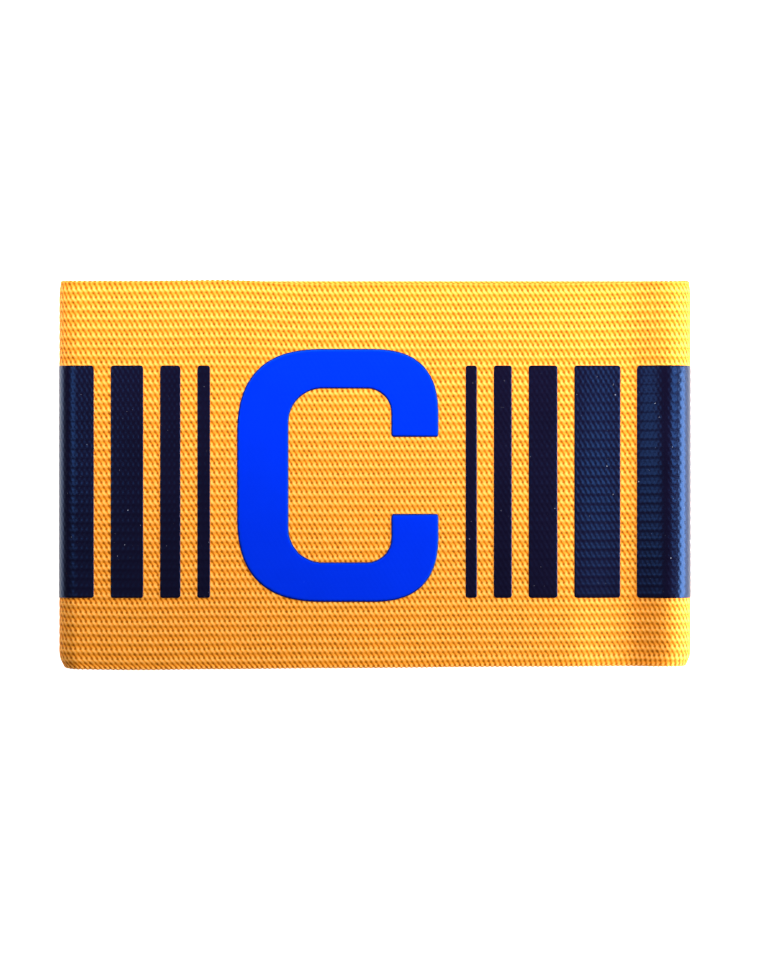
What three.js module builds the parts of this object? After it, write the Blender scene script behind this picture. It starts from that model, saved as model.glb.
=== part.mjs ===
// Captain's armband: a loop of ribbed knitted elastic that lies pressed flat, with a letter C and
// upright bars of transfer film on its front layer.
// Millimetres. +X runs along the band to the right, +Y across it to the upper edge, and +Z up from the
// surface that it lies on. The origin is on that surface, under the middle of the band.

import * as THREE from "three";

// The loop of elastic
const flatWidth = 150;       // fold to fold, lying flat
const bandHeight = 92;       // from one selvedge to the other
const wall = 1.4;            // thickness of the knitted elastic
const innerGap = 5.8;        // open height between the two layers
const foldLift = 1.8;        // how far the right fold stands above the front layer
const troughDip = 1.1;       // depth of the dent that the right fold leaves in the front layer
const troughInset = 15;      // from the right fold's outermost line to that dent
const troughRun = 15;        // length of the slope from the front layer down into the dent
const edgeWander = 0.8;      // how far the selvedges stray from a straight line
const upperInset = 0.3;      // how far the folds draw in at the upper selvedge
const lowerInset = 1.1;      // and at the lower one
const cornerReach = 3.6;     // the length of selvedge corner that draws in

// The ribs of the knit, which run along the loop on its outer face
const ribPitch = 2.19;
const ribRelief = 0.3;       // depth of the furrow between two ribs
const ribCrest = 0.5;        // flat top of a rib, as a share of the pitch

// The film: one thickness, lying just clear of the knit
const film = 0.25;
const filmClearance = 0.15;

// The letter C
const letterHeight = 59.9;
const letterWidth = 47.7;
const letterStem = 12.2;     // width of the upright stroke
const letterTip = 11.2;      // width of the two ends
const letterBar = 9.4;       // height of the two level strokes
const letterMouth = 18.2;    // opening between the two ends
const stemCorner = 21.3;     // reach of the outer corners on the stem's side
const tipCorner = 16.6;      // and on the side of the ends
const stemInnerCorner = 8;
const tipInnerCorner = 5.8;
const cornerPower = 2.65;    // squareness of the outer corners: 2 would make them quarter circles
const letterShift = 8.75;    // how far the letter's middle lies left of the band's
const letterDrop = 0.1;      // and below it

// The bars, counted outwards from the letter, which fill the front from there round to the film's end
const barCount = { left: 4, right: 5 };
const barHeight = 55;
const barDrop = 1.6;         // how far the bars' middle lies below the band's
const barGrowth = 1.6;       // each bar is this many times as wide as the one before
const barGap = 4;
const barMargin = 6.4;       // from the letter to the first bar
const filmTurn = THREE.MathUtils.degToRad(108); // how far the film follows a fold, from its crest

// Fineness of the facets
const foldSteps = 8;
const slopeSteps = 5;        // on each side of the dent
const levelStep = 18;
const backSteps = 3;
const arcSteps = 10;
const barFacet = 1.2;

const halfWidth = flatWidth / 2;
const halfHeight = bandHeight / 2;
const layerTop = innerGap + 2 * wall;
const leftRadius = layerTop / 2;
const rightRadius = (layerTop + foldLift) / 2;
const troughX = halfWidth - troughInset;

// Where the selvedges lie along the front, as shares of half the width and of the edge wander
const frontEdges = [
  { along: -1.0, upper: 0.0, lower: 0.0 },
  { along: -0.75, upper: 0.0, lower: -0.25 },
  { along: -0.5, upper: 0.25, lower: 0.0 },
  { along: -0.15, upper: -0.7, lower: 0.3 },
  { along: 0.5, upper: -0.7, lower: 0.75 },
  { along: 1.0, upper: -0.1, lower: 0.9 },
];
const backEdge = { upper: 0.2, lower: 1.0 };

// Depth of the dent at the lower selvedge and at the upper one, as shares of its full depth
const dipShare = { lower: 1.0, upper: 0.35 };

const smooth = (t) => THREE.MathUtils.smoothstep(t, 0, 1);

function frontEdge(side, x) {
  const along = THREE.MathUtils.clamp(x / halfWidth, -1, 1);
  let row = 1;
  while (row < frontEdges.length - 1 && along > frontEdges[row].along) row += 1;
  const from = frontEdges[row - 1];
  const to = frontEdges[row];
  const share = smooth((along - from.along) / (to.along - from.along));
  return THREE.MathUtils.lerp(from[side], to[side], share);
}

// How far the folds draw in at a place across the band, from -1 at the lower selvedge to 1 at the upper
function cornerDraw(across) {
  const reach = cornerReach / halfHeight;
  const share = Math.max(0, (Math.abs(across) - 1 + reach) / reach);
  return (across > 0 ? upperInset : lowerInset) * share * share;
}

// Height and slope of the front layer's outer face over its level stretch and the dent
function frontFace(x, across, crestX) {
  const share = THREE.MathUtils.lerp(dipShare.lower, dipShare.upper, (across + 1) / 2);
  const rise = (at) => {
    const reach = at < troughX ? troughRun : crestX - troughX;
    const dip = troughDip * share * (1 - smooth(Math.abs(at - troughX) / reach));
    const lift = foldLift * smooth((at - troughX) / (crestX - troughX));
    return layerTop + lift - dip;
  };
  const step = 0.01;
  return { z: rise(x), slope: (rise(x + step) - rise(x - step)) / (2 * step) };
}

// One place on the loop. leg says which stretch it is on: the back layer, the left fold, the front layer
// or the right fold. along runs from 0 to 1 over that stretch, from the right end of the back layer,
// clockwise as seen from the lower selvedge. lift is the distance outwards from the outer face.
function loopPoint(leg, along, across, lift) {
  const reach = halfWidth - cornerDraw(across);
  const leftX = -reach + leftRadius;
  const rightX = reach - rightRadius;
  let x, z, outX, outZ, frontShare;
  if (leg === "back") {
    x = THREE.MathUtils.lerp(rightX, leftX, along);
    z = 0;
    outX = 0;
    outZ = -1;
    frontShare = 0;
  } else if (leg === "front") {
    x = THREE.MathUtils.lerp(leftX, rightX, along);
    const face = frontFace(x, across, rightX);
    const length = Math.hypot(1, face.slope);
    z = face.z;
    outX = -face.slope / length;
    outZ = 1 / length;
    frontShare = 1;
  } else {
    const left = leg === "left";
    const radius = left ? leftRadius : rightRadius;
    const angle = Math.PI * (left ? -0.5 - along : 0.5 - along);
    outX = Math.cos(angle);
    outZ = Math.sin(angle);
    x = (left ? leftX : rightX) + radius * outX;
    z = radius + radius * outZ;
    frontShare = smooth(left ? along : 1 - along);
  }
  const edge = (side) => {
    const share = THREE.MathUtils.lerp(backEdge[side], frontEdge(side, x), frontShare);
    return (side === "upper" ? halfHeight : -halfHeight) + edgeWander * share;
  };
  const y = THREE.MathUtils.lerp(edge("lower"), edge("upper"), (across + 1) / 2);
  return new THREE.Vector3(x + lift * outX, y, z + lift * outZ);
}

// Places along the whole loop where the facets meet
function loopStations() {
  const stations = [];
  const add = (leg, shares) => shares.forEach((along) => stations.push({ leg, along }));
  const even = (count) => Array.from({ length: count }, (_, i) => i / count);
  const level = even(Math.round(flatWidth / levelStep));
  const span = flatWidth - leftRadius - rightRadius;
  const slopeStart = (troughX - troughRun + halfWidth - leftRadius) / span;
  const slopes = even(2 * slopeSteps).map((share) => slopeStart + share * (1 - slopeStart));
  add("back", even(backSteps));
  add("left", even(foldSteps));
  add("front", [...level.filter((share) => share < slopeStart), ...slopes]);
  add("right", even(foldSteps));
  return stations;
}

// Places across the inner face where the facets meet, close together in the corners
function innerStations() {
  const reach = cornerReach / halfHeight;
  const corner = [0, 0.25, 0.55, 1].map((share) => ({ across: 1 - reach * share, lift: -wall }));
  return [...corner.map((row) => ({ ...row, across: -row.across })), ...corner.reverse()];
}

// Places across the outer face: a flat crest for each rib and one line along the bottom of each furrow
function ribStations() {
  const count = Math.round(bandHeight / ribPitch);
  const furrow = (1 - ribCrest) / 2;
  const rows = [{ across: -1, lift: 0 }];
  for (let rib = 0; rib < count; rib += 1) {
    const place = (share) => -1 + (2 * (rib + share)) / count;
    rows.push({ across: place(0.5 - furrow), lift: 0 });
    rows.push({ across: place(0.5), lift: -ribRelief });
    rows.push({ across: place(0.5 + furrow), lift: 0 });
  }
  return [...rows, { across: 1, lift: 0 }];
}

// A closed skin from an outer grid and an inner grid of points, rows[i][j], with as many rows in each.
// A ring closes on itself along i, and otherwise its two ends are walled too.
function skinGeometry(outer, inner, ring) {
  const rows = outer.length;
  const points = [...outer.flat(), ...inner.flat()];
  const index = [];
  const outerAt = (i, j) => (i % rows) * outer[0].length + j;
  const innerAt = (i, j) => rows * outer[0].length + (i % rows) * inner[0].length + j;
  const quad = (a, b, c, d) => index.push(a, b, c, a, c, d);
  const outerLast = outer[0].length - 1;
  const innerLast = inner[0].length - 1;
  for (let i = 0; i < (ring ? rows : rows - 1); i += 1) {
    for (let j = 0; j < outerLast; j += 1) {
      quad(outerAt(i, j), outerAt(i + 1, j), outerAt(i + 1, j + 1), outerAt(i, j + 1));
    }
    for (let j = 0; j < innerLast; j += 1) {
      quad(innerAt(i, j), innerAt(i, j + 1), innerAt(i + 1, j + 1), innerAt(i + 1, j));
    }
    quad(outerAt(i, 0), innerAt(i, 0), innerAt(i + 1, 0), outerAt(i + 1, 0));
    quad(outerAt(i, outerLast), outerAt(i + 1, outerLast),
      innerAt(i + 1, innerLast), innerAt(i, innerLast));
  }
  if (!ring) {
    const last = rows - 1;
    for (let j = 0; j < outerLast; j += 1) {
      quad(outerAt(0, j), outerAt(0, j + 1), innerAt(0, j + 1), innerAt(0, j));
      quad(outerAt(last, j), innerAt(last, j), innerAt(last, j + 1), outerAt(last, j + 1));
    }
  }
  const geometry = new THREE.BufferGeometry().setFromPoints(points);
  geometry.setIndex(index);
  geometry.computeVertexNormals();
  return geometry;
}

function bandGeometry() {
  const grid = (across) => loopStations().map(({ leg, along }) =>
    across.map((row) => loopPoint(leg, along, row.across, row.lift)));
  return skinGeometry(grid(ribStations()), grid(innerStations()), true);
}

// The letter's outline: a wide C of straight strokes joined by round corners
function letterShape() {
  const right = letterWidth / 2;
  const top = letterHeight / 2;
  const mouth = letterMouth / 2;
  const innerLeft = -right + letterStem;
  const innerRight = right - letterTip;
  const innerTop = top - letterBar;
  // A corner reaches as far as named, or as far as the strokes leave it room
  const tip = Math.min(tipCorner, top - mouth);
  const stem = Math.min(stemCorner, top, letterWidth - tip);
  const tipInner = Math.min(tipInnerCorner, innerTop - mouth);
  const stemInner = Math.min(stemInnerCorner, innerTop, innerRight - innerLeft - tipInner);
  const shape = new THREE.Shape();
  // One corner, as a quarter of a superellipse from one quarter turn to another
  const corner = (x, y, reach, power, from, to) => {
    const along = (share) => Math.sign(share) * Math.abs(share) ** (2 / power);
    for (let i = 0; i <= arcSteps; i += 1) {
      const angle = THREE.MathUtils.lerp(from, to, i / arcSteps) * Math.PI / 2;
      shape.lineTo(x + reach * along(Math.cos(angle)), y + reach * along(Math.sin(angle)));
    }
  };
  shape.moveTo(right, mouth);
  corner(right - tip, top - tip, tip, cornerPower, 0, 1);
  corner(-right + stem, top - stem, stem, cornerPower, 1, 2);
  corner(-right + stem, -top + stem, stem, cornerPower, 2, 3);
  corner(right - tip, -top + tip, tip, cornerPower, -1, 0);
  shape.lineTo(right, -mouth);
  shape.lineTo(innerRight, -mouth);
  corner(innerRight - tipInner, -innerTop + tipInner, tipInner, 2, 0, -1);
  corner(innerLeft + stemInner, -innerTop + stemInner, stemInner, 2, -1, -2);
  corner(innerLeft + stemInner, innerTop - stemInner, stemInner, 2, 2, 1);
  corner(innerRight - tipInner, innerTop - tipInner, tipInner, 2, 1, 0);
  shape.lineTo(innerRight, mouth);
  shape.closePath();
  return shape;
}

function letterGeometry() {
  return new THREE.ExtrudeGeometry(letterShape(), { depth: film, bevelEnabled: false });
}

// Place on the loop at a distance outwards from the middle of the band, along the front and then down
// round the fold on that side
function runPlace(side, run) {
  const left = side === "left";
  const radius = left ? leftRadius : rightRadius;
  const level = halfWidth - radius;
  if (run > level) {
    const turned = (run - level) / (Math.PI * radius);
    return { leg: side, along: left ? 1 - turned : turned };
  }
  const x = left ? -run : run;
  return { leg: "front", along: (x + halfWidth - leftRadius) / (flatWidth - leftRadius - rightRadius) };
}

// Distance outwards at which the film ends, just past the widest line of the fold
function filmEnd(side) {
  const radius = side === "left" ? leftRadius : rightRadius;
  return halfWidth - radius + radius * filmTurn;
}

// Where each bar of one side starts and ends: the bars and the gaps between them take up the whole run
function barRuns(side) {
  const sign = side === "left" ? -1 : 1;
  const count = barCount[side];
  const sizes = Array.from({ length: count }, (_, i) => barGrowth ** i);
  const total = sizes.reduce((sum, size) => sum + size, 0);
  let start = -sign * letterShift + letterWidth / 2 + barMargin;
  const unit = (filmEnd(side) - start - (count - 1) * barGap) / total;
  return sizes.map((size) => {
    const run = { start, end: start + size * unit };
    start = run.end + barGap;
    return run;
  });
}

function barGeometry(side, run) {
  const steps = Math.max(1, Math.ceil((run.end - run.start) / barFacet));
  const shares = Array.from({ length: steps + 1 }, (_, i) => i / steps);
  const rows = shares.map((share) => runPlace(side, THREE.MathUtils.lerp(run.start, run.end, share)));
  if (side === "left") rows.reverse();
  const low = (-barDrop - barHeight / 2) / halfHeight;
  const high = (-barDrop + barHeight / 2) / halfHeight;
  const grid = (lift) => rows.map(({ leg, along }) =>
    [low, high].map((across) => {
      const point = loopPoint(leg, along, across, lift);
      point.y = across * halfHeight;
      return point;
    }));
  return skinGeometry(grid(filmClearance + film), grid(filmClearance), false);
}

const elastic = { color: "#f2b43f", roughness: 0.85, metalness: 0 };
const blueFilm = { color: "#0a41f0", roughness: 0.3, metalness: 0 };
const navyFilm = { color: "#17152d", roughness: 0.28, metalness: 0 };

const group = new THREE.Group();

function addPiece(name, geometry, finish) {
  const mesh = new THREE.Mesh(geometry, new THREE.MeshStandardMaterial(finish));
  mesh.name = name;
  group.add(mesh);
  return mesh;
}

addPiece("elastic_band", bandGeometry(), elastic);
const letter = addPiece("letter_c", letterGeometry(), blueFilm);
letter.position.set(-letterShift, -letterDrop, layerTop + filmClearance);
for (const side of ["left", "right"]) {
  barRuns(side).forEach((run, i) => {
    addPiece(`bar_${side}_${i + 1}`, barGeometry(side, run), navyFilm);
  });
}

export default group;
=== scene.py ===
import math

import bpy
import numpy as np
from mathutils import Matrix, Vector


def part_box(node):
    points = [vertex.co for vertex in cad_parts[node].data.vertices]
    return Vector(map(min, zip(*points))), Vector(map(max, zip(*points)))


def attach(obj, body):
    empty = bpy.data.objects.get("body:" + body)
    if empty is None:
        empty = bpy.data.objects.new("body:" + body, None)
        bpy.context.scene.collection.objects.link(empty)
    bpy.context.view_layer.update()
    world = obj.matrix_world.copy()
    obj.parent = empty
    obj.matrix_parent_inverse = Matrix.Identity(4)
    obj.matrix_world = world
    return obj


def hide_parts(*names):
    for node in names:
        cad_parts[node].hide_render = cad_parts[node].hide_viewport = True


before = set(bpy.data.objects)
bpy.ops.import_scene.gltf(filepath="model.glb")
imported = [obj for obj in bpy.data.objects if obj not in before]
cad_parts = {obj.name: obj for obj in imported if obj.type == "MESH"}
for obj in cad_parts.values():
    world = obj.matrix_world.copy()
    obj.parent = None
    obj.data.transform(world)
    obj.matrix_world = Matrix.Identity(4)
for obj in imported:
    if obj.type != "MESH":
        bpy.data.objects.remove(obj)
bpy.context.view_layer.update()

mm = 0.001  # everything in Blender is in metres


# sRGB hex to linear colour
def linearColor(hexCode):
    channels = [int(hexCode[i:i + 2], 16) / 255 for i in (1, 3, 5)]
    return (*[c / 12.92 if c <= 0.04045 else ((c + 0.055) / 1.055) ** 2.4 for c in channels], 1.0)


# adds a node with its settings; its inputs are sockets or plain values, in order or by name or number;
# gives one of its outputs
def addNode(tree, kind, inputs=(), output=0, **settings):
    node = tree.nodes.new("ShaderNode" + kind)
    for key, value in settings.items():
        setattr(node, key, value)
    for key, value in (inputs if isinstance(inputs, dict) else dict(enumerate(inputs))).items():
        if isinstance(value, bpy.types.NodeSocket):
            tree.links.new(value, node.inputs[key])
        else:
            node.inputs[key].default_value = value
    return node.outputs[output]


# 0 to 1 with level ends: 3 t squared minus 2 t cubed
def smooth(t):
    t = np.clip(t, 0.0, 1.0)
    return t * t * (3 - 2 * t)


def lerp(a, b, t):
    return a + (b - a) * t


# The loop of elastic, pressed flat

bandLow, bandHigh = (np.array(corner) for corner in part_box("elastic_band"))
letterLow, letterHigh = (np.array(corner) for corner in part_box("letter_c"))

loop = {
    "height": 92.0 * mm,  # between the selvedges
    "wall": 1.4 * mm,
    "filmClearance": 0.15 * mm,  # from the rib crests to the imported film
    "troughDip": 1.1 * mm,  # the dent that the right fold leaves in the front layer
    "troughInset": 15.0 * mm,
    "troughRun": 15.0 * mm,
    "dipLower": 1.7,  # share of that dent at the lower selvedge
    "dipUpper": 0.3,
    "upperInset": 0.3 * mm,  # how far the folds draw in at the upper selvedge, and at the lower
    "lowerInset": 1.1 * mm,
    "cornerReach": 3.6 * mm,
    "edgeWander": 0.8 * mm,
    "backUpper": 0.2,  # where the back layer's selvedges lie, as shares of the wander
    "backLower": 1.0,
    "selvedgeRound": 0.30 * mm,  # how far the rounded selvedge stands out
    "scallop": 0.10 * mm,  # each stitch's bump on the selvedge
    "sway": 0.10 * mm,  # gentle unevenness of the front layer, and the lengths of its waves
    "swayAlong": 13 * mm,
    "swayTurn": 21 * mm,
    "swayAcross": 17 * mm,
}

# where the front's selvedges lie, as shares of half the width and of the wander
edgeRows = [
    {"along": -1.0, "upper": 0.0, "lower": 0.0},
    {"along": -0.75, "upper": 0.0, "lower": -0.25},
    {"along": -0.5, "upper": 0.25, "lower": 0.0},
    {"along": -0.15, "upper": -0.7, "lower": 0.3},
    {"along": 0.5, "upper": -0.7, "lower": 0.75},
    {"along": 1.0, "upper": -0.1, "lower": 0.9},
]

halfWidth = (bandHigh[0] - bandLow[0]) / 2
halfHeight = loop["height"] / 2
frontTop = letterLow[2] - loop["filmClearance"]
foldTop = bandHigh[2]
leftRadius = frontTop / 2
rightRadius = foldTop / 2
troughX = halfWidth - loop["troughInset"]
frontLeft = -halfWidth + leftRadius  # where the level front layer begins and ends, at mid-height
frontRight = halfWidth - rightRadius


# how far a selvedge of the front layer strays at x, eased from one row of the table to the next
def frontEdge(side, x):
    along = np.clip(x / halfWidth, -1, 1)
    places = np.array([row["along"] for row in edgeRows])
    values = np.array([row[side] for row in edgeRows])
    row = np.clip(np.searchsorted(places, along, side="left"), 1, len(places) - 1)
    share = smooth((along - places[row - 1]) / (places[row] - places[row - 1]))
    return lerp(values[row - 1], values[row], share)


# height and slope of the front layer: level, a dip before the right fold, then a rise to its crest
def frontFace(x, across, crestX):
    share = lerp(loop["dipLower"], loop["dipUpper"], (across + 1) / 2)

    def rise(at):
        reach = np.where(at < troughX, loop["troughRun"], crestX - troughX)
        dip = loop["troughDip"] * share * (1 - smooth(abs(at - troughX) / reach))
        return frontTop + (foldTop - frontTop) * smooth((at - troughX) / (crestX - troughX)) - dip

    step = 0.01 * mm
    return rise(x), (rise(x + step) - rise(x - step)) / (2 * step)


# The section of the loop at a place round it and a place across it. place runs 0 to 1 along the back
# layer from right to left, to 2 up the left fold, to 3 along the front, to 4 down the right fold. across
# is -1 at the lower selvedge and 1 at the upper. The legs are straight lines or the front's curve, and
# the folds are half circles. Gives x, z, the outward direction, and how far the front's shape holds.
def loopSection(place, across):
    leg = np.clip(np.floor(place), 0, 3)
    along = place - leg
    reachShare = loop["cornerReach"] / halfHeight
    inset = np.where(across > 0, loop["upperInset"], loop["lowerInset"])
    draw = inset * np.clip((abs(across) - 1 + reachShare) / reachShare, 0, 1) ** 2
    leftX = frontLeft + draw
    rightX = frontRight - draw
    left, back, front = leg == 1, leg == 0, leg == 2
    radius = np.where(left, leftRadius, rightRadius)
    angle = math.pi * np.where(left, -0.5 - along, 0.5 - along)
    frontX = lerp(leftX, rightX, along)
    frontZ, slope = frontFace(frontX, across, rightX)
    steep = np.hypot(1, slope)
    x = np.select([back, front], [lerp(rightX, leftX, along), frontX],
                  np.where(left, leftX, rightX) + radius * np.cos(angle))
    z = np.select([back, front], [0 * along, frontZ], radius + radius * np.sin(angle))
    outX = np.select([back, front], [0 * along, -slope / steep], np.cos(angle))
    outZ = np.select([back, front], [0 * along - 1, 1 / steep], np.sin(angle))
    frontShare = np.select([back, front], [0 * along, 0 * along + 1], smooth(np.where(left, along, 1 - along)))
    return x, z, outX, outZ, frontShare


# y of the two selvedges, less the part that is rounded
def selvedges(x, frontShare):
    upper = halfHeight + loop["edgeWander"] * lerp(loop["backUpper"], frontEdge("upper", x), frontShare)
    lower = -halfHeight + loop["edgeWander"] * lerp(loop["backLower"], frontEdge("lower", x), frontShare)
    return lower + loop["selvedgeRound"], upper - loop["selvedgeRound"]


# a point: the section's place, moved outwards by lift, and along y past the selvedge by out; the front
# also sways by a product of two slow waves
def loopSurface(place, across, lift, out=0.0):
    place, across, lift = np.broadcast_arrays(place, across, lift)
    x, z, outX, outZ, frontShare = loopSection(place, across)
    lower, upper = selvedges(x, frontShare)
    y = lerp(lower, upper, (across + 1) / 2) + out
    sway = loop["sway"] * frontShare * smooth((1 - abs(x) / halfWidth) * 6)
    sway = sway * np.sin(x / loop["swayAlong"] + 1.3 * np.sin(y / loop["swayTurn"]))
    sway = sway * np.cos(y / loop["swayAcross"] + 0.6)
    return np.stack([x + (lift + sway) * outX, y, z + (lift + sway) * outZ], axis=-1)


# place across the loop for a real y, the other way round from loopSurface
def acrossAt(place, y):
    x, z, outX, outZ, frontShare = loopSection(place, 0 * place)
    lower, upper = selvedges(x, frontShare)
    return 2 * (y - lower) / (upper - lower) - 1


# place round the loop for a distance from the middle of the front, which goes on round the folds
def placeOfRun(run):
    level = 2 + (run - frontLeft) / (frontRight - frontLeft)
    onRight = 3 + (run - frontRight) / (math.pi * rightRadius)
    onLeft = 2 - (frontLeft - run) / (math.pi * leftRadius)
    return np.select([run > frontRight, run < frontLeft], [onRight, onLeft], level)


# The knit: one slanted stitch after another along each rib

knit = {
    "stitch": 1.218 * mm,  # along the loop
    "rib": 2.19 * mm,  # from one rib to the next
    "start": -0.24,  # the upper selvedge, counted in ribs down from the first row of upper pits
    "ribDepth": 0.07 * mm,
    "pitDepth": 0.21 * mm,
    "furrow": 0.12,  # where the furrow lies in a rib's pitch, counted down from the upper row of pits
    "secondPit": 0.43,  # and the lower row of pits
    "steep": 0.18,  # and the middle of the stretch where a gap slants most
    "slant": 0.08,  # how much it strays there from an even slant, in stitches
    "gapSharpness": 1.3,
    "evenGap": 0.3,  # a gap's depth where the stitches aren't modelled one by one
}

# how open the gap between two stitches is, down one rib's pitch
gapProfile = {
    "down": [0.0, 0.07, 0.14, 0.21, 0.29, 0.36, 0.43, 0.50, 0.57, 0.64, 0.71, 0.79, 0.86, 0.93, 1.0],
    "open": [1.0, 0.85, 0.6, 0.5, 0.6, 0.85, 1.0, 0.85, 0.7, 0.45, 0.2, 0.3, 0.6, 0.85, 1.0],
}

roundTable = np.linspace(0, 4, 4001)
roundPath = loopSurface(roundTable, 0.0, 0.0)
roundLength = np.concatenate([[0], np.cumsum(np.linalg.norm(np.diff(roundPath, axis=0), axis=1))])
stitchCount = round(roundLength[-1] / knit["stitch"])
stitchLength = roundLength[-1] / stitchCount
ribSpan = (loop["height"] - 2 * loop["selvedgeRound"]) / knit["rib"]


def placeOfStitch(stitch):
    return np.interp((stitch % stitchCount) * stitchLength, roundLength, roundTable)


def stitchOfPlace(place):
    return np.interp(place, roundTable, roundLength) / stitchLength


# count of ribs down from the first row of upper pits
def ribOf(across):
    return knit["start"] + (1 - across) / 2 * ribSpan


# How far a gap has slanted along the loop at a place down the ribs: one stitch in each rib, less evenly
# by a sine of two waves a rib, so that it hangs straight at the two rows of pits
def gapSlant(rib):
    at = 4 * math.pi * (rib - knit["steep"])
    return rib + knit["slant"] * (np.sin(at) + math.sin(4 * math.pi * knit["steep"]))


# How far the surface lies below the rib crests: a cosine furrow between ribs, and a gap after each
# stitch, which is a raised cosine across the gap times the gap's profile
def knitRelief(stitch, rib, gaps=True, ribs=1.0):
    furrow = 0.5 + 0.5 * np.cos(2 * math.pi * (rib - knit["furrow"]))
    window = np.interp(rib % 1, gapProfile["down"], gapProfile["open"])
    gap = (0.5 + 0.5 * np.cos(2 * math.pi * (stitch - gapSlant(rib)))) ** knit["gapSharpness"]
    gap = np.where(gaps, gap, knit["evenGap"])
    return -knit["ribDepth"] * furrow * ribs - knit["pitDepth"] * window * gap


# a mesh from its points and faces, with a UV map for each name in maps and each point's distance from
# a cut edge
def makePiece(name, points, faces, maps, material, fromEdge=None):
    mesh = bpy.data.meshes.new(name)
    sides = faces.shape[1]
    mesh.vertices.add(len(points))
    mesh.vertices.foreach_set("co", np.ascontiguousarray(points, np.float32).ravel())
    mesh.loops.add(faces.size)
    mesh.loops.foreach_set("vertex_index", np.ascontiguousarray(faces, np.int32).ravel())
    mesh.polygons.add(len(faces))
    mesh.polygons.foreach_set("loop_start", np.arange(0, faces.size, sides, dtype=np.int32))
    mesh.update(calc_edges=True)
    for mapName, corners in maps.items():
        layer = mesh.uv_layers.new(name=mapName)
        layer.data.foreach_set("uv", np.ascontiguousarray(corners, np.float32).ravel())
    if fromEdge is not None:
        mesh.attributes.new("fromEdge", "FLOAT", "POINT").data.foreach_set("value", fromEdge.astype(np.float32))
    mesh.polygons.foreach_set("use_smooth", np.ones(len(faces), dtype=bool))
    mesh.materials.append(material)
    piece = bpy.data.objects.new(name, mesh)
    bpy.context.scene.collection.objects.link(piece)
    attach(piece, "root")
    return piece


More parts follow.
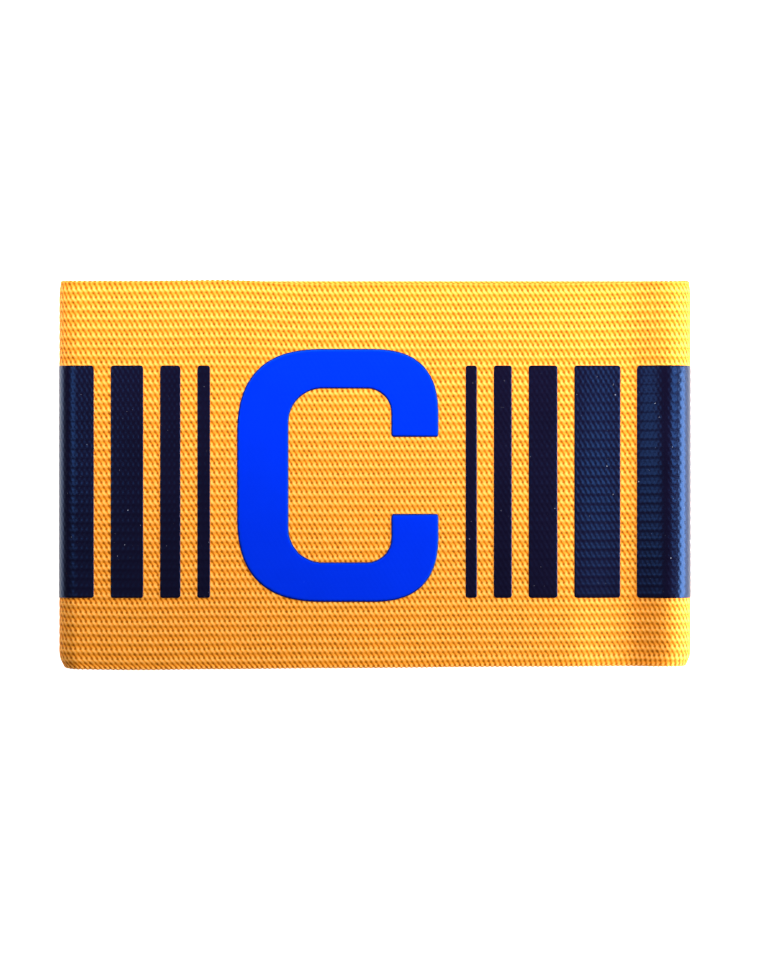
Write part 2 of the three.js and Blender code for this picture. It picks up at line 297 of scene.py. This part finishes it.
# Crochet-knitted elastic of texturised polyester over rubber threads: matt, with a painted highlight where the
# top of a stitch catches the light, and painted shade, a deeper orange, in the gaps and darker still in the
# pits, where light bounces from yarn to yarn
def knittedElastic():
    look = {
        # painted highlight: the next colour is the yarn painted paler where the top of a stitch catches the
        # light
        "crownHighlight": "#FFB85A",
        "yarn": "#F4941E",
        # painted shade: the gaps are painted a deeper orange, for light bouncing from yarn to yarn
        "gap": "#D4690A",
        # painted shade: the pits are painted dark brown
        "pitShade": "#844404",
        "filaments": 4.0,  # strands that show across one stitch; the real ones are finer
        "filamentHeight": 0.10,  # against the depth of a gap
        "gapSharpness": 1.5,
        "gapShade": 0.75,  # how far the painted shade of the gap's colour comes in where a gap is open, and where it is shut
        "shutShade": 0.15,
        "strayScale": 1.1,  # how often the stitches stray, and how far along and down, in stitches and ribs
        "strayAlong": 0.45,
        "strayDown": 0.22,
        "archStart": 0.08,  # where a stitch comes up from below, down the rib's pitch
        # painted highlight: its swing down the rib's pitch and its mean level
        "archHighlight": 0.43,
        "evenHighlight": 0.57,
    }
    crownHighlight, yarn, gapShadeColor, pitShadeColor = [linearColor(look[key]) for key in ("crownHighlight", "yarn", "gap", "pitShade")]
    material = bpy.data.materials.new("knittedPolyesterElastic")
    material.use_nodes = True
    tree = material.node_tree
    shader = tree.nodes["Principled BSDF"]
    uv = addNode(tree, "UVMap", uv_map="knit")
    u = addNode(tree, "SeparateXYZ", [uv])
    v = u.node.outputs[1]
    stray = addNode(tree, "TexNoise", {"Vector": uv, "Scale": look["strayScale"], "Detail": 2.0})
    stray = addNode(tree, "Math", [stray, 0.5], operation="SUBTRACT")
    u = addNode(tree, "Math", [stray, look["strayAlong"], u], operation="MULTIPLY_ADD")
    v = addNode(tree, "Math", [stray, look["strayDown"], v], operation="MULTIPLY_ADD")
    # the place down one rib's pitch, from a quarter above its upper row of pits
    down = addNode(tree, "Math", [v, 0.25], operation="ADD")
    down = addNode(tree, "Math", [down], operation="FRACT")
    down = addNode(tree, "Math", [down, 0.25], operation="SUBTRACT")
    # the same slant as in the mesh
    slant = addNode(tree, "Math", [v, knit["steep"]], operation="SUBTRACT")
    slant = addNode(tree, "Math", [slant, 4 * math.pi], operation="MULTIPLY")
    slant = addNode(tree, "Math", [slant], operation="SINE")
    slant = addNode(tree, "Math", [slant, math.sin(4 * math.pi * knit["steep"])], operation="ADD")
    slant = addNode(tree, "Math", [slant, knit["slant"], v], operation="MULTIPLY_ADD")
    turn = addNode(tree, "Math", [u, slant], operation="SUBTRACT")
    turn = addNode(tree, "Math", [turn, 2 * math.pi], operation="MULTIPLY")
    gap = addNode(tree, "Math", [turn], operation="COSINE")
    gap = addNode(tree, "Math", [gap, 0.5, 0.5], operation="MULTIPLY_ADD")
    gap = addNode(tree, "Math", [gap, look["gapSharpness"]], operation="POWER")
    # the gaps are open over the upper half of each rib, and deepest in two rows of pits
    opens = addNode(tree, "MapRange", [down, -0.26, -0.06, 0.0, 1.0], interpolation_type="SMOOTHSTEP")
    shuts = addNode(tree, "MapRange", [down, 0.48, 0.72, 1.0, 0.0], interpolation_type="SMOOTHSTEP")
    window = addNode(tree, "Math", [opens, shuts], operation="MULTIPLY")
    rows = addNode(tree, "Math", [down, 2 * math.pi / knit["secondPit"]], operation="MULTIPLY")
    rows = addNode(tree, "Math", [rows], operation="COSINE")
    rows = addNode(tree, "Math", [rows, 0.5, 0.5], operation="MULTIPLY_ADD")
    rows = addNode(tree, "Math", [rows, window], operation="MULTIPLY")
    # the painted shade in the pits is a little deeper or lighter from stitch to stitch, at random
    cell = addNode(tree, "VectorMath", [uv, (0.5, 0.3, 0)], operation="ADD")
    cell = addNode(tree, "VectorMath", [cell], operation="FLOOR")
    chance = addNode(tree, "TexWhiteNoise", [cell], noise_dimensions="2D")
    chance = addNode(tree, "MapRange", [chance, 0.0, 1.0, 0.45, 1.0], interpolation_type="SMOOTHSTEP")
    # painted shade in the pits, in two rows in each rib
    pitShade = addNode(tree, "Math", [gap, rows], operation="MULTIPLY")
    pitShade = addNode(tree, "Math", [pitShade, chance], operation="MULTIPLY")
    # painted highlight: a stitch is painted palest where it arches over, between the lower pits
    arch = addNode(tree, "Math", [down, look["archStart"]], operation="SUBTRACT")
    arch = addNode(tree, "Math", [arch, 2 * math.pi], operation="MULTIPLY")
    arch = addNode(tree, "Math", [arch], operation="COSINE")
    arch = addNode(tree, "Math", [arch, -look["archHighlight"], look["evenHighlight"]], operation="MULTIPLY_ADD")
    paintedHighlight = addNode(tree, "Math", [1.0, gap], operation="SUBTRACT")
    paintedHighlight = addNode(tree, "Math", [paintedHighlight, arch], operation="MULTIPLY")
    # painted shade in the gaps, deeper where a gap is open
    shade = addNode(tree, "Math", [window, look["gapShade"], look["shutShade"]], operation="MULTIPLY_ADD")
    shade = addNode(tree, "Math", [gap, shade], operation="MULTIPLY")
    # the yarn, then the painted highlight, the painted shade of the gaps, and that of the pits
    color = addNode(tree, "Mix", {0: paintedHighlight, 6: yarn, 7: crownHighlight}, output=2, data_type="RGBA")
    color = addNode(tree, "Mix", {0: shade, 6: color, 7: gapShadeColor}, output=2, data_type="RGBA")
    color = addNode(tree, "Mix", {0: pitShade, 6: color, 7: pitShadeColor}, output=2, data_type="RGBA")
    tree.links.new(color, shader.inputs["Base Color"])
    strand = addNode(tree, "Math", [turn, look["filaments"]], operation="MULTIPLY")
    strand = addNode(tree, "Math", [strand], operation="SINE")
    strand = addNode(tree, "Math", [strand, look["filamentHeight"]], operation="MULTIPLY")
    height = addNode(tree, "Math", [gap, window], operation="MULTIPLY")
    height = addNode(tree, "Math", [strand, height], operation="SUBTRACT")
    bump = addNode(tree, "Bump", {"Height": height, "Distance": 0.14 * mm, "Strength": 0.6})
    tree.links.new(bump, shader.inputs["Normal"])
    shader.inputs["Roughness"].default_value = 0.6
    shader.inputs["Specular IOR Level"].default_value = 0.1
    return material


# Heat-set polyurethane transfer film, calendered smooth: a satin gloss, with the knit printing through
# from below, a dark line of painted shade round its cut edge where it meets the knit, and a few specks of lint
# on it
def transferFilm(name, look):
    material = bpy.data.materials.new(name)
    material.use_nodes = True
    tree = material.node_tree
    shader = tree.nodes["Principled BSDF"]
    at = addNode(tree, "TexCoord", output=3)
    speck = addNode(tree, "TexNoise", {"Vector": at, "Scale": 1 / (0.45 * mm), "Detail": 1.0})
    speck = addNode(tree, "MapRange", [speck, look["speckFrom"], look["speckFrom"] + 0.03])
    tint = addNode(tree, "TexNoise", {"Vector": at, "Scale": 1 / (9 * mm), "Detail": 3.0})
    # painted shade: the colour darkens within 0.42 mm of a cut edge, fully within 0.12 mm
    edge = addNode(tree, "Attribute", output=2, attribute_name="fromEdge")
    edge = addNode(tree, "MapRange", [edge, 0.12 * mm, 0.42 * mm, 1.0, 0.0])
    deep, light, lint, edgeShade = [
        linearColor(code) for code in (look["deep"], look["light"], "#B9C0D4", look["edgeShade"])]
    color = addNode(tree, "Mix", {0: tint, 6: deep, 7: light}, output=2, data_type="RGBA")
    color = addNode(tree, "Mix", {0: speck, 6: color, 7: lint}, output=2, data_type="RGBA")
    color = addNode(tree, "Mix", {0: edge, 6: color, 7: edgeShade}, output=2, data_type="RGBA")
    tree.links.new(color, shader.inputs["Base Color"])
    grain = addNode(tree, "TexNoise", {"Vector": at, "Scale": 1 / (0.5 * mm), "Detail": 2.0})
    bump = addNode(tree, "Bump", {"Height": grain, "Distance": 0.03 * mm, "Strength": look["grain"]})
    tree.links.new(bump, shader.inputs["Normal"])
    shader.inputs["Roughness"].default_value = look["roughness"]
    shader.inputs["Specular IOR Level"].default_value = look["gloss"]
    shader.inputs["Specular Tint"].default_value = look["shine"]
    return material


elastic = knittedElastic()
# each film's dark edge colour is painted shade round its cut edge
navyFilm = transferFilm("navyTransferFilm", {
    "deep": "#0A0414", "light": "#0F081E", "edgeShade": "#06030C", "shine": (0.11, 0.36, 1.0, 1.0),
    "gloss": 0.6, "roughness": 0.28, "grain": 0.3, "speckFrom": 0.80})
blueFilm = transferFilm("blueTransferFilm", {
    "deep": "#0021C8", "light": "#0025D0", "edgeShade": "#020A48", "shine": (0.04, 0.8, 1.0, 1.0),
    "gloss": 0.4, "roughness": 0.42, "grain": 0.12, "speckFrom": 0.86})
print("materials made")


# The band: a grid that closes on itself both ways, round the loop and round the strip's own section. Each
# row is shifted along by its lean, so that its points fall in the gaps and on the stitches between them.
def bandPiece():
    band = {
        "denseFrom": 115,  # the stitch where the back layer ends; before it only the ribs are modelled
        "samplesPerStitch": 2,
        "backStep": 2,
        "ribSamples": [0.0, 0.15, 0.29, 0.43, 0.61, 0.81],
        "rimSamples": 4,
        "innerRows": 12,
    }
    dense = np.arange(band["denseFrom"], stitchCount, 1 / band["samplesPerStitch"])
    stitches = np.concatenate([np.arange(0, band["denseFrom"], band["backStep"]), dense])
    coarse = (stitches < band["denseFrom"])[:, None]
    ribs = (np.arange(-1, math.ceil(ribSpan))[:, None] + np.array(band["ribSamples"])).ravel()
    ends = [knit["start"], knit["start"] + ribSpan]
    ribs = np.concatenate([ends[:1], ribs[(ribs > ends[0] + 0.04) & (ribs < ends[1] - 0.04)], ends[1:]])
    outerRows = len(ribs)
    # round the section: the outer face downwards, the lower selvedge, the inner face upwards, the upper
    swing = np.linspace(0, math.pi, band["rimSamples"] + 2)[1:-1]
    rimLift = -loop["wall"] * (0.5 - 0.5 * np.cos(swing))
    rimOut = loop["selvedgeRound"] * np.sin(swing)
    inner = np.linspace(-1, 1, band["innerRows"])
    across = np.concatenate([1 - 2 * (ribs - knit["start"]) / ribSpan, 0 * swing - 1, inner, 0 * swing + 1])
    lift = np.concatenate([0 * ribs, rimLift, 0 * inner - loop["wall"], rimLift[::-1]])
    out = np.concatenate([0 * ribs, -rimOut, 0 * inner, rimOut[::-1]])
    # the count of ribs goes on round the section, so that the two UV maps never overlap
    rimRibs = np.arange(1, len(swing) + 1) / (len(swing) + 1)
    innerRibs = ends[1] + 1 + (inner + 1) / 2 * ribSpan
    ribRows = np.concatenate([ribs, ends[1] + rimRibs, innerRibs, innerRibs[-1] + rimRibs])
    lean = np.append(gapSlant(ribs) % 0.5, np.zeros(len(across) - outerRows))
    stitchGrid = stitches[:, None] + lean * ~coarse
    relief = knitRelief(stitchGrid[:, :outerRows], ribs[None, :], ~coarse)
    lifts = np.broadcast_to(lift, stitchGrid.shape).copy()
    lifts[:, :outerRows] += relief
    scallop = 1 + loop["scallop"] / loop["selvedgeRound"] * np.cos(2 * math.pi * stitches)[:, None]
    points = loopSurface(placeOfStitch(stitchGrid), across[None, :], lifts, out[None, :] * scallop)
    columns, rows = stitchGrid.shape
    i, j = np.meshgrid(np.arange(columns), np.arange(rows), indexing="ij")
    corner = np.stack([i, j], -1).reshape(-1, 2)
    a, b, c, d = corner, corner + [0, 1], corner + [1, 1], corner + [1, 0]
    triangles = np.concatenate([np.stack([a, b, c], 1), np.stack([a, c, d], 1)])
    faces = (triangles[..., 0] % columns) * rows + triangles[..., 1] % rows
    wrapped = triangles[..., 0] >= columns
    mapU = stitchGrid[triangles[..., 0] % columns, triangles[..., 1] % rows] + wrapped * stitchCount
    mapV = np.append(ribRows, ribRows[-1] + rimRibs[0])[triangles[..., 1]]
    knitMap = np.stack([mapU, mapV], -1)
    bake = (knitMap - [0, ends[0]]) / [stitchCount + 1, mapV.max() - ends[0]]
    piece = makePiece("elasticLoop", points.reshape(-1, 3), faces, {"knit": knitMap, "OFBake": bake}, elastic)
    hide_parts("elastic_band")
    print("band:", len(faces), "triangles,", stitchCount, "stitches round,", round(ribSpan, 1), "ribs")


bandPiece()

# The film pieces

film = {
    "under": 0.16 * mm,  # the lower face, out of sight in the knit
    "corner": 0.65 * mm,
    "ragged": 0.45,  # how far a cut edge strays for the knit's relief below it
    "raggedEnds": 0.8 * mm,  # how near an end the cut there strays too
    "bridge": 0.12,  # how far to each side the film evens out the stitches, in stitches
}
navy = {"proud": 0.10 * mm, "emboss": 0.56, "ribs": 0.5, "drop": 0.12 * mm, "reach": 0.22 * mm}
blue = {"proud": 0.22 * mm, "emboss": 0.06, "ribs": 0.5, "drop": 0.25 * mm, "reach": 0.65 * mm}


# A closed shell from a grid of places. The upper face takes the softened relief of the knit and rounds
# off by the square of the nearness to its edge; the lower face lies level in the knit. inward is each
# point's distance from the edge.
def filmShell(name, run, y, inward, finish, material, node):
    place = placeOfRun(run)
    across = acrossAt(place, y)
    stitch, rib = stitchOfPlace(place), ribOf(across)
    shifts = (-film["bridge"], 0, film["bridge"])
    relief = sum(knitRelief(stitch + shift, rib, ribs=finish["ribs"]) for shift in shifts) / 3
    drop = finish["drop"] * (1 - np.clip(inward / finish["reach"], 0, 1)) ** 2
    upper = loopSurface(place, across, finish["proud"] + finish["emboss"] * relief - drop)
    lower = loopSurface(place, across, np.full_like(run, -film["under"]))
    columns, rows = run.shape
    i, j = np.meshgrid(np.arange(columns - 1), np.arange(rows - 1), indexing="ij")
    a = (i * rows + j).ravel()
    quads = np.stack([a, a + rows, a + rows + 1, a + 1], 1)
    shift = columns * rows
    edge = np.concatenate([
        np.arange(columns) * rows, (columns - 1) * rows + np.arange(1, rows),
        np.arange(columns - 2, -1, -1) * rows + rows - 1, np.arange(rows - 2, 0, -1)])
    after = np.roll(edge, -1)
    walls = np.stack([edge, edge + shift, after + shift, after], 1)
    faces = np.concatenate([quads, quads[:, ::-1] + shift, walls])
    if np.cross(upper[1, 0] - upper[0, 0], upper[0, 1] - upper[0, 0])[2] < 0:
        faces = faces[:, ::-1]
    knitFlat = np.stack([stitch, rib], -1).reshape(-1, 2)
    square = np.stack(np.broadcast_arrays(np.linspace(0, 1, columns)[:, None], np.linspace(0, 1, rows)), -1)
    square = square.reshape(-1, 2)
    bake = np.concatenate([square * [0.46, 1], square * [0.46, 1] + [0.54, 0]])[faces]
    # the thin walls take a strip between the two faces
    stripV = np.linspace(0, 1, len(walls) + 1)
    lowV, highV = stripV[:-1], stripV[1:]
    strip = np.stack([np.stack([0 * lowV + 0.48, lowV], -1), np.stack([0 * lowV + 0.52, lowV], -1),
                      np.stack([0 * lowV + 0.52, highV], -1), np.stack([0 * lowV + 0.48, highV], -1)], 1)
    bake[2 * len(quads):] = strip
    piece = makePiece(name, np.concatenate([upper.reshape(-1, 3), lower.reshape(-1, 3)]), faces,
                      {"knit": np.concatenate([knitFlat, knitFlat])[faces], "OFBake": bake}, material,
                      np.concatenate([inward.ravel(), 0 * inward.ravel()]))
    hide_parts(node)
    print(name + ":", 2 * len(faces), "triangles")


# how far a cut edge stands out at points of the front: more over a stitch and less over a gap
def raggedEdge(points):
    place = placeOfRun(points[..., 0])
    rib = ribOf(acrossAt(place, points[..., 1]))
    return film["ragged"] * (knitRelief(stitchOfPlace(place), rib) + 0.1 * mm)


# evenly spaced places with closer ones at each end, for the rounded edge
def edgedSteps(start, end, step):
    close = np.array([0.0, 0.06, 0.16, 0.3, 0.48]) * mm
    count = max(2, round((end - start - 2 * close[-1]) / step))
    middle = np.linspace(start + close[-1], end - close[-1], count + 1)
    return np.concatenate([start + close[:-1], middle, end - close[-2::-1]])


# A bar: an upright rectangle in the distance along the loop and y, with small round corners. A bar that
# ends past the fold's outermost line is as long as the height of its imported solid's end says.
def barPiece(side, number):
    node = f"bar_{side}_{number}"
    low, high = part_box(node)
    sign = -1 if side == "left" else 1
    radius, level = (leftRadius, -frontLeft) if side == "left" else (rightRadius, frontRight)
    start, end = sorted([low[0] * sign, high[0] * sign])
    if end > halfWidth:
        end = level + radius * math.acos((low[2] - radius) / (radius + end - halfWidth))
    near = edgedSteps(start, end, stitchLength / 4)
    down = edgedSteps(low[1], high[1], knit["rib"] / 6)
    fromEnd = np.minimum(down - down[0], down[-1] - down)
    bend = np.clip(film["corner"] - fromEnd, 0, film["corner"])
    inset = film["corner"] - np.sqrt(film["corner"] ** 2 - bend ** 2)
    first = raggedEdge(np.stack([np.full_like(down, sign * start), down], -1))
    last = raggedEdge(np.stack([np.full_like(down, sign * end), down], -1))
    share = ((near - start) / (end - start))[:, None]
    run = sign * lerp(start + inset - first, end - inset + last, share)
    atEnds = np.clip(1 - fromEnd / film["raggedEnds"], 0, 1) * np.sign(down - down.mean())
    y = down + atEnds * raggedEdge(np.stack(np.broadcast_arrays(run, down), -1))
    inward = np.minimum(np.minimum(near - start, end - near)[:, None], fromEnd)
    filmShell(f"bar{side.capitalize()}{number}", run, y, inward, navy, navyFilm, node)


# The letter: a ribbon between an outer and an inner outline, each of five straight stretches joined by
# four corners, which are quarters of superellipses. A point is a share of the way round and of the way
# across.
def letterPiece():
    letter = {
        "stem": 12.2 * mm,
        "tip": 11.2 * mm,  # width of the two ends
        "bar": 9.4 * mm,
        "mouth": 18.2 * mm,
        "outer": {"stem": 21.3 * mm, "tip": 16.6 * mm, "power": 2.65},  # corners' reach on each side
        "inner": {"stem": 8.0 * mm, "tip": 5.8 * mm, "power": 2.0},
        "step": 0.28 * mm,
        "endCorner": 0.6 * mm,
        "cornerLength": 1.6,  # of a corner's curve, as a multiple of its reach, for counting its points
    }
    middle = (letterLow + letterHigh) / 2
    halfX, halfY = (letterHigh - letterLow)[:2] / 2
    mouth = letter["mouth"] / 2

    # evenly spaced points of one corner, which turns through one quarter about its centre
    def cornerPoints(x, y, reach, power, quarter, share):
        angle = (quarter + np.linspace(0, 1, 600)) * math.pi / 2
        unit = np.stack([np.cos(angle), np.sin(angle)], -1)
        curve = reach * np.sign(unit) * abs(unit) ** (2 / power)
        length = np.concatenate([[0], np.cumsum(np.linalg.norm(np.diff(curve, axis=0), axis=1))])
        at = share * length[-1]
        return np.stack([x + np.interp(at, length, curve[:, 0]), y + np.interp(at, length, curve[:, 1])], -1)

    def outline(left, right, top, corners, shares):
        tip, stem, power = corners["tip"], corners["stem"], corners["power"]
        tipX, tipY, stemX, stemY = right - tip, top - tip, left + stem, top - stem

        def straight(start, end, share):
            return lerp(np.array(start), np.array(end), share[:, None])

        return np.concatenate([
            straight((right, mouth), (right, tipY), shares[0]),
            cornerPoints(tipX, tipY, tip, power, 0, shares[1]),
            straight((tipX, top), (stemX, top), shares[2]),
            cornerPoints(stemX, stemY, stem, power, 1, shares[3]),
            straight((left, stemY), (left, -stemY), shares[4]),
            cornerPoints(stemX, -stemY, stem, power, 2, shares[5]),
            straight((stemX, -top), (tipX, -top), shares[6]),
            cornerPoints(tipX, -tipY, tip, power, 3, shares[7]),
            straight((right, -tipY), (right, -mouth), shares[8])])

    tip, stem = letter["outer"]["tip"], letter["outer"]["stem"]
    tipCurve, stemCurve = letter["cornerLength"] * tip, letter["cornerLength"] * stem
    lengths = [halfY - mouth - tip, tipCurve, 2 * halfX - tip - stem, stemCurve, 2 * (halfY - stem),
               stemCurve, 2 * halfX - tip - stem, tipCurve, halfY - mouth - tip]
    counts = [round(length / letter["step"]) for length in lengths]
    shares = [np.arange(count) / count for count in counts]
    endSteps = edgedSteps(0, lengths[0], letter["step"]) / lengths[0]
    shares[0] = endSteps[endSteps < 0.9]
    shares[-1] = 1 - shares[0][::-1]
    outer = outline(-halfX, halfX, halfY, letter["outer"], shares)
    inner = outline(letter["stem"] - halfX, halfX - letter["tip"], halfY - letter["bar"],
                    letter["inner"], shares)
    width = np.linalg.norm(outer - inner, axis=1)[:, None]
    sideways = (outer - inner) / width
    fromStart = np.full(len(outer), letter["stem"])
    fromStart[:len(shares[0])] = shares[0] * lengths[0]
    fromEnd = np.minimum(fromStart, fromStart[::-1])[:, None]
    bend = np.clip(letter["endCorner"] - fromEnd, 0, letter["endCorner"])
    inset = letter["endCorner"] - np.sqrt(letter["endCorner"] ** 2 - bend ** 2)
    outer = middle[:2] + outer
    inner = middle[:2] + inner
    outer = outer + sideways * (raggedEdge(outer)[:, None] - inset)
    inner = inner - sideways * (raggedEdge(inner)[:, None] - inset)
    across = edgedSteps(0, letter["stem"], letter["step"]) / letter["stem"]
    grid = lerp(outer[:, None, :], inner[:, None, :], across[None, :, None])
    atEnds = np.clip(1 - fromEnd / film["raggedEnds"], 0, 1) * np.sign(middle[1] - grid[..., 1])
    grid[..., 1] += atEnds * raggedEdge(grid)
    inward = np.minimum(np.minimum(across, 1 - across) * width, fromEnd)
    filmShell("letterC", grid[..., 0], grid[..., 1], inward, blue, blueFilm, "letter_c")


letterPiece()
for side, count in (("left", 4), ("right", 5)):
    for number in range(1, count + 1):
        barPiece(side, number)
print("films made")


# The studio: a white table, a large soft light beyond the upper edge, and three cooler windows

# a rectangular lamp
def areaLight(lamp):
    light = bpy.data.lights.new(lamp["name"], "AREA")
    light.shape = "RECTANGLE"
    light.size, light.size_y = lamp["size"]
    light.energy = lamp["power"]
    light.color = lamp["color"]
    body = bpy.data.objects.new(lamp["name"], light)
    bpy.context.scene.collection.objects.link(body)
    body.location = lamp["place"]
    body.rotation_euler = (Vector(lamp["aim"]) - Vector(lamp["place"])).to_track_quat("-Z", "Y").to_euler()
    body.visible_camera = False
    body.visible_glossy = lamp["mirrored"]


def studio():
    table = {"reach": 1.5, "glow": 0.95, "sky": 0.10}
    # power in watts; the softbox isn't mirrored, which leaves the films their own colour in low views
    lamps = [
        {"name": "keySoftbox", "place": (0.012, 0.103, 0.08), "aim": (0.01, 0, 0), "size": (0.38, 0.06),
         "power": 0.65, "color": (1.0, 0.97, 0.93), "mirrored": False},
        {"name": "windowLeft", "place": (-0.16, 0.03, 0.235), "aim": (0.065, 0, 0.01), "size": (0.05, 0.12),
         "power": 0.09, "color": (0.75, 0.88, 1.0), "mirrored": True},
        {"name": "windowAbove", "place": (0.165, 0.04, 0.20), "aim": (0.06, 0, 0), "size": (0.05, 0.12),
         "power": 0.15, "color": (0.75, 0.88, 1.0), "mirrored": True},
        {"name": "windowRight", "place": (0.21, -0.05, 0.055), "aim": (0.07, -0.01, 0.008),
         "size": (0.20, 0.09), "power": 0.85, "color": (0.95, 0.98, 1.0), "mirrored": True},
    ]
    world = bpy.data.worlds.new("studio")
    bpy.context.scene.world = world
    world.use_nodes = True
    background = world.node_tree.nodes["Background"]
    background.inputs[0].default_value = (1.0, 0.96, 0.90, 1)
    background.inputs[1].default_value = table["sky"]
    for lamp in lamps:
        areaLight(lamp)
    mesh = bpy.data.meshes.new("table")
    reach = table["reach"]
    mesh.from_pydata([(-reach, -reach, 0), (reach, -reach, 0), (reach, reach, 0), (-reach, reach, 0)],
                     [], [(0, 1, 2, 3)])
    top = bpy.data.objects.new("table", mesh)
    bpy.context.scene.collection.objects.link(top)
    paper = bpy.data.materials.new("whitePaper")
    paper.use_nodes = True
    shader = paper.node_tree.nodes["Principled BSDF"]
    shader.inputs["Base Color"].default_value = linearColor("#F4F4F4")
    shader.inputs["Roughness"].default_value = 0.9
    shader.inputs["Specular IOR Level"].default_value = 0.1
    shader.inputs["Emission Color"].default_value = (0.96, 1.0, 0.99, 1)
    shader.inputs["Emission Strength"].default_value = table["glow"]
    mesh.materials.append(paper)


# The camera looks straight down, as the photograph does, from far enough to keep the folds' width
def camera():
    view = {"lens": 180.0, "place": (2.18 * mm, -1.19 * mm, 1.1446)}
    data = bpy.data.cameras.new("camera")
    data.lens = view["lens"]
    data.sensor_width = 36.0
    data.clip_start = 0.01
    body = bpy.data.objects.new("camera", data)
    body.location = view["place"]
    bpy.context.scene.collection.objects.link(body)
    bpy.context.scene.camera = body


studio()
camera()
bpy.context.scene.view_settings.view_transform = "Standard"
print("studio made")
